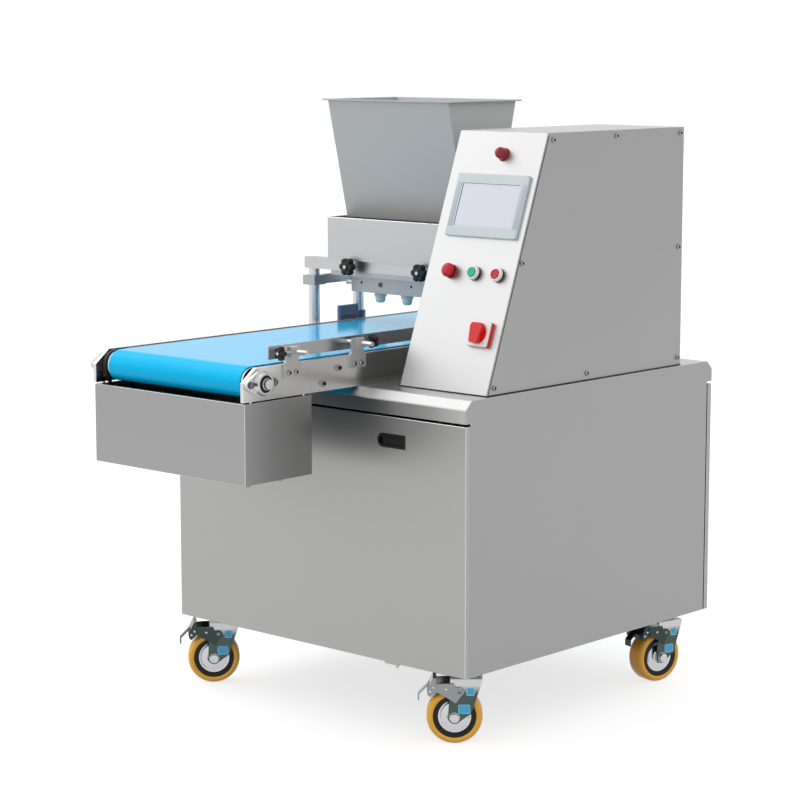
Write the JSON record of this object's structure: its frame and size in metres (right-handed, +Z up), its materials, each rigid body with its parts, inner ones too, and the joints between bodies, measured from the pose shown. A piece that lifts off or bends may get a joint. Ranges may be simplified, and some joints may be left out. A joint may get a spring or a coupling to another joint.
{
  "type": "cookie depositor",
  "caption": "Wheeled stainless cookie depositor with a blue tray conveyor, a hopper over fluted feed rollers and nozzles, and a sloped control tower.",
  "frame": {"origin": "on the floor under the middle of the cabinet", "axes": "+X to the right seen from the front, +Y along the conveyor into the machine, +Z up"},
  "size_m": [0.8323, 1.404, 1.2603],
  "materials": {
    "stainless_sheet": "brushed",
    "machined_aluminium": "machined",
    "zinc_steel": "zinc plated",
    "orange_tyre": "moulded polyurethane",
    "belt_blue": "smooth food-grade belt",
    "black_plastic": "moulded",
    "black_rubber": "moulded",
    "motor_grey": "satin",
    "white_plastic": "moulded",
    "screen_grey": "moulded",
    "lamp_red": "clear tinted",
    "red_plastic": "moulded",
    "green_plastic": "moulded",
    "reflector_navy": "moulded"
  },
  "bodies": {
    "frame": {"base_frame": "stainless_sheet", "left_side_panel": "stainless_sheet", "right_side_panel": "stainless_sheet", "table_top": "stainless_sheet", "rear_panel": "stainless_sheet", "caster_plates": "zinc_steel", "near_side_plate": "stainless_sheet", "far_side_plate": "stainless_sheet", "slider_bed": "stainless_sheet", "conveyor_belt": "belt_blue", "roller_bearings": "stainless_sheet", "drive_box": "stainless_sheet", "drive_motor": "motor_grey", "timing_belt": "black_rubber", "guide_brackets": "stainless_sheet", "tray_reflector": "reflector_navy", "support_columns": "stainless_sheet", "head_beams": "machined_aluminium", "side_rail": "machined_aluminium", "roller_housing": "stainless_sheet", "roller_block": "machined_aluminium", "nozzle_block": "machined_aluminium", "nozzles": "white_plastic", "feed_motor": "motor_grey", "tower_shell": "stainless_sheet", "tower_side_cover": "stainless_sheet", "touch_screen": "screen_grey", "indicator_lamp": "lamp_red", "button_rings": "white_plastic", "main_switch": "white_plastic"},
    "front_panel": {"front_panel": "stainless_sheet", "front_latch": "black_plastic"},
    "latch_paddle": {"latch_paddle": "black_plastic"},
    "caster_fork_front_left": {"caster_fork_front_left": "zinc_steel"},
    "caster_wheel_front_left": {"caster_wheel_front_left": "orange_tyre"},
    "caster_brake_front_left": {"caster_brake_front_left": "zinc_steel"},
    "caster_fork_front_right": {"caster_fork_front_right": "zinc_steel"},
    "caster_wheel_front_right": {"caster_wheel_front_right": "orange_tyre"},
    "caster_brake_front_right": {"caster_brake_front_right": "zinc_steel"},
    "caster_fork_rear_left": {"caster_fork_rear_left": "zinc_steel"},
    "caster_wheel_rear_left": {"caster_wheel_rear_left": "orange_tyre"},
    "caster_brake_rear_left": {"caster_brake_rear_left": "zinc_steel"},
    "caster_fork_rear_right": {"caster_fork_rear_right": "zinc_steel"},
    "caster_wheel_rear_right": {"caster_wheel_rear_right": "orange_tyre"},
    "caster_brake_rear_right": {"caster_brake_rear_right": "zinc_steel"},
    "front_roller": {"front_roller": "stainless_sheet"},
    "rear_roller": {"rear_roller": "stainless_sheet"},
    "motor_pulley": {"motor_pulley": "machined_aluminium"},
    "guide_rail": {"guide_rail": "stainless_sheet"},
    "guide_knob_front": {"guide_knob_front": "black_plastic"},
    "guide_knob_rear": {"guide_knob_rear": "black_plastic"},
    "feed_roller_front": {"feed_roller_front": "stainless_sheet"},
    "feed_roller_rear": {"feed_roller_rear": "stainless_sheet"},
    "hopper": {"hopper": "stainless_sheet"},
    "clamp_knob_left": {"clamp_knob_left": "black_plastic"},
    "clamp_knob_right": {"clamp_knob_right": "black_plastic"},
    "emergency_stop": {"emergency_stop": "red_plastic"},
    "start_button": {"start_button": "green_plastic"},
    "stop_button": {"stop_button": "red_plastic"},
    "switch_handle": {"switch_handle": "red_plastic"}
  },
  "joints": [
    {"name": "front_panel_tilt", "type": "hinge", "parent": "frame", "child": "front_panel", "pos_m": [0, -0.408, 0.152], "axis": [1, 0, 0], "range_deg": [0, 10]},
    {"name": "latch_paddle_turn", "type": "hinge", "parent": "front_panel", "child": "latch_paddle", "pos_m": [0.1895, -0.4055, 0.603], "axis": [0, 0, -1], "range_deg": [0, 60], "stiffness_Nm_per_rad": 0.02},
    {"name": "caster_swivel_front_left", "type": "hinge", "parent": "frame", "child": "caster_fork_front_left", "pos_m": [-0.3485, -0.329, 0.152], "axis": [0, 0, 1], "continuous": true},
    {"name": "caster_spin_front_left", "type": "hinge", "parent": "caster_fork_front_left", "child": "caster_wheel_front_left", "pos_m": [-0.36724, -0.34981, 0.056], "axis": [0.7431, -0.6691, 0], "continuous": true},
    {"name": "caster_brake_front_left", "type": "hinge", "parent": "caster_fork_front_left", "child": "caster_brake_front_left", "pos_m": [-0.36088, -0.34275, 0.1097], "axis": [0.7431, -0.6691, 0], "range_deg": [0, 8]},
    {"name": "caster_swivel_front_right", "type": "hinge", "parent": "frame", "child": "caster_fork_front_right", "pos_m": [0.3485, -0.329, 0.152], "axis": [0, 0, 1], "continuous": true},
    {"name": "caster_spin_front_right", "type": "hinge", "parent": "caster_fork_front_right", "child": "caster_wheel_front_right", "pos_m": [0.32737, -0.34737, 0.056], "axis": [0.6561, -0.7547, 0], "continuous": true},
    {"name": "caster_brake_front_right", "type": "hinge", "parent": "caster_fork_front_right", "child": "caster_brake_front_right", "pos_m": [0.33454, -0.34114, 0.1097], "axis": [0.6561, -0.7547, 0], "range_deg": [0, 8]},
    {"name": "caster_swivel_rear_left", "type": "hinge", "parent": "frame", "child": "caster_fork_rear_left", "pos_m": [-0.3485, 0.329, 0.152], "axis": [0, 0, 1], "continuous": true},
    {"name": "caster_spin_rear_left", "type": "hinge", "parent": "caster_fork_rear_left", "child": "caster_wheel_rear_left", "pos_m": [-0.3625, 0.30475, 0.056], "axis": [0.866, -0.5, 0], "continuous": true},
    {"name": "caster_brake_rear_left", "type": "hinge", "parent": "caster_fork_rear_left", "child": "caster_brake_rear_left", "pos_m": [-0.35775, 0.31298, 0.1097], "axis": [0.866, -0.5, 0], "range_deg": [0, 8]},
    {"name": "caster_swivel_rear_right", "type": "hinge", "parent": "frame", "child": "caster_fork_rear_right", "pos_m": [0.3485, 0.329, 0.152], "axis": [0, 0, 1], "continuous": true},
    {"name": "caster_spin_rear_right", "type": "hinge", "parent": "caster_fork_rear_right", "child": "caster_wheel_rear_right", "pos_m": [0.34125, 0.30195, 0.056], "axis": [0.9659, -0.2588, 0], "continuous": true},
    {"name": "caster_brake_rear_right", "type": "hinge", "parent": "caster_fork_rear_right", "child": "caster_brake_rear_right", "pos_m": [0.34371, 0.31113, 0.1097], "axis": [0.9659, -0.2588, 0], "range_deg": [0, 8]},
    {"name": "front_roller_spin", "type": "hinge", "parent": "frame", "child": "front_roller", "pos_m": [-0.111, -0.668, 0.7355], "axis": [1, 0, 0], "continuous": true},
    {"name": "rear_roller_spin", "type": "hinge", "parent": "frame", "child": "rear_roller", "pos_m": [-0.111, 0.65, 0.7355], "axis": [1, 0, 0], "continuous": true},
    {"name": "motor_pulley_spin", "type": "hinge", "parent": "frame", "child": "motor_pulley", "pos_m": [-0.2975, -0.616, 0.601], "axis": [1, 0, 0], "continuous": true},
    {"name": "guide_rail_slide", "type": "slide", "parent": "frame", "child": "guide_rail", "axis": [1, 0, 0], "range_m": [-0.025, 0.012]},
    {"name": "guide_knob_front_turn", "type": "hinge", "parent": "frame", "child": "guide_knob_front", "pos_m": [0.1155, -0.581, 0.78912], "axis": [0, 1, 0], "continuous": true},
    {"name": "guide_knob_rear_turn", "type": "hinge", "parent": "frame", "child": "guide_knob_rear", "pos_m": [0.1155, -0.396, 0.78912], "axis": [0, 1, 0], "continuous": true},
    {"name": "feed_front_spin", "type": "hinge", "parent": "frame", "child": "feed_roller_front", "pos_m": [-0.111, 0.0135, 0.95], "axis": [1, 0, 0], "continuous": true},
    {"name": "feed_rear_spin", "type": "hinge", "parent": "frame", "child": "feed_roller_rear", "pos_m": [-0.111, 0.0695, 0.95], "axis": [1, 0, 0], "continuous": true},
    {"name": "hopper_lift", "type": "slide", "parent": "frame", "child": "hopper", "axis": [0, 0, 1], "range_m": [0, 0.12]},
    {"name": "clamp_knob_left_turn", "type": "hinge", "parent": "frame", "child": "clamp_knob_left", "pos_m": [-0.216, -0.0085, 0.8985], "axis": [0, 1, 0], "continuous": true},
    {"name": "clamp_knob_right_turn", "type": "hinge", "parent": "frame", "child": "clamp_knob_right", "pos_m": [-0.006, -0.0085, 0.8985], "axis": [0, 1, 0], "continuous": true},
    {"name": "emergency_stop_press", "type": "slide", "parent": "frame", "child": "emergency_stop", "axis": [0, 0.939, -0.344], "range_m": [0, 0.004], "stiffness_N_per_m": 600},
    {"name": "start_button_press", "type": "slide", "parent": "frame", "child": "start_button", "axis": [0, 0.939, -0.344], "range_m": [0, 0.0025], "stiffness_N_per_m": 400},
    {"name": "stop_button_press", "type": "slide", "parent": "frame", "child": "stop_button", "axis": [0, 0.939, -0.344], "range_m": [0, 0.0025], "stiffness_N_per_m": 400},
    {"name": "switch_handle_turn", "type": "hinge", "parent": "frame", "child": "switch_handle", "pos_m": [0.347, -0.29338, 0.81462], "axis": [0, -0.939, 0.344], "range_deg": [-90, 0]}
  ],
  "couplings": [
    {"joint": "rear_roller_spin", "follows": "front_roller_spin", "ratio": 1},
    {"joint": "motor_pulley_spin", "follows": "front_roller_spin", "ratio": 1.625},
    {"joint": "feed_rear_spin", "follows": "feed_front_spin", "ratio": -1}
  ]
}
